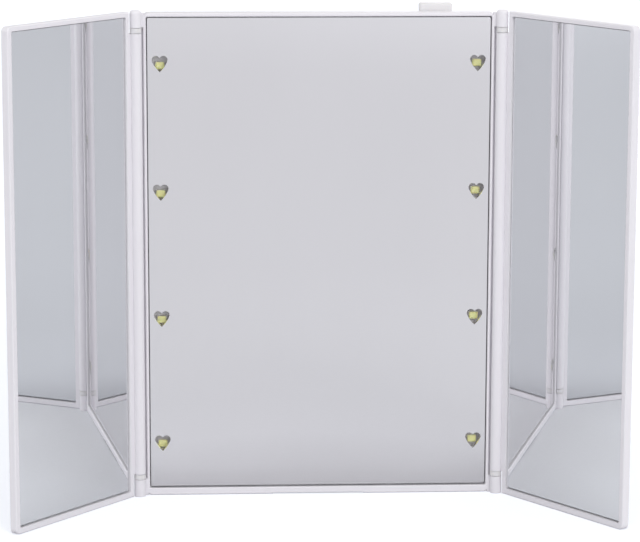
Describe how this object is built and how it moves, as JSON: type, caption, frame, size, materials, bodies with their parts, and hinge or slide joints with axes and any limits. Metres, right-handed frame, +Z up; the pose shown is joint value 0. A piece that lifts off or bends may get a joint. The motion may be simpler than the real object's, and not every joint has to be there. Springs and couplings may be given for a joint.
{
  "type": "vanity_mirror",
  "caption": "Folding three-panel vanity mirror with heart-shaped light windows in the centre glass, friction-hinged side wings, a top push button and a battery bay behind.",
  "frame": {"origin": "middle of the centre case's resting face, halfway through the case's depth", "axes": "+Z up, +X to the right of a person facing the mirror, +Y to the back of the case"},
  "size_m": [0.2223, 0.0714, 0.184],
  "materials": {
    "case_plastic": "satin white moulding",
    "button_plastic": "satin, slightly milky",
    "mirror_silver": "silvered glass",
    "heart_clear": "clear, polished",
    "foam_tape": "foam adhesive sheet",
    "board_white": "white solder mask",
    "led_phosphor": "phosphor gel in a white package",
    "pin_steel": "ground",
    "contact_nickel": "nickel plated",
    "cell_wrap": "plain printed sleeve",
    "switch_black": "moulded",
    "wire_jacket": "insulated lead"
  },
  "bodies": {
    "centre_case": {"front_frame": "case_plastic", "rear_housing": "case_plastic", "centre_mirror": "mirror_silver", "heart_windows": "heart_clear", "centre_tape": "foam_tape", "led_board_left": "board_white", "led_board_right": "board_white", "leds_left": "led_phosphor", "leds_right": "led_phosphor", "case_screws": "pin_steel", "battery_cells": "cell_wrap", "contact_plates": "contact_nickel", "contact_springs": "contact_nickel", "switch_body": "switch_black", "hinge_pins": "pin_steel", "hinge_collars": "button_plastic", "wiring": "wire_jacket"},
    "battery_cover": {"battery_door": "case_plastic"},
    "power_button": {"push_button": "button_plastic", "switch_plunger": "button_plastic"},
    "left_wing": {"wing_frame_left": "case_plastic", "wing_mirror_left": "mirror_silver", "wing_tape_left": "foam_tape"},
    "right_wing": {"wing_frame_right": "case_plastic", "wing_mirror_right": "mirror_silver", "wing_tape_right": "foam_tape"}
  },
  "joints": [
    {"name": "left_wing_hinge", "type": "hinge", "parent": "centre_case", "child": "left_wing", "pos_m": [-0.06695, -0.0096, 0.09], "axis": [0, 0, 1], "range_deg": [-50, 130]},
    {"name": "right_wing_hinge", "type": "hinge", "parent": "centre_case", "child": "right_wing", "pos_m": [0.06695, -0.0096, 0.09], "axis": [0, 0, -1], "range_deg": [-53.4, 126.6]},
    {"name": "button_press", "type": "slide", "parent": "centre_case", "child": "power_button", "axis": [0, 0, -1], "range_m": [0, 0.0015], "stiffness_N_per_m": 1200},
    {"name": "battery_door_lift", "type": "slide", "parent": "centre_case", "child": "battery_cover", "axis": [0, 1, 0], "range_m": [0, 0.02]}
  ]
}
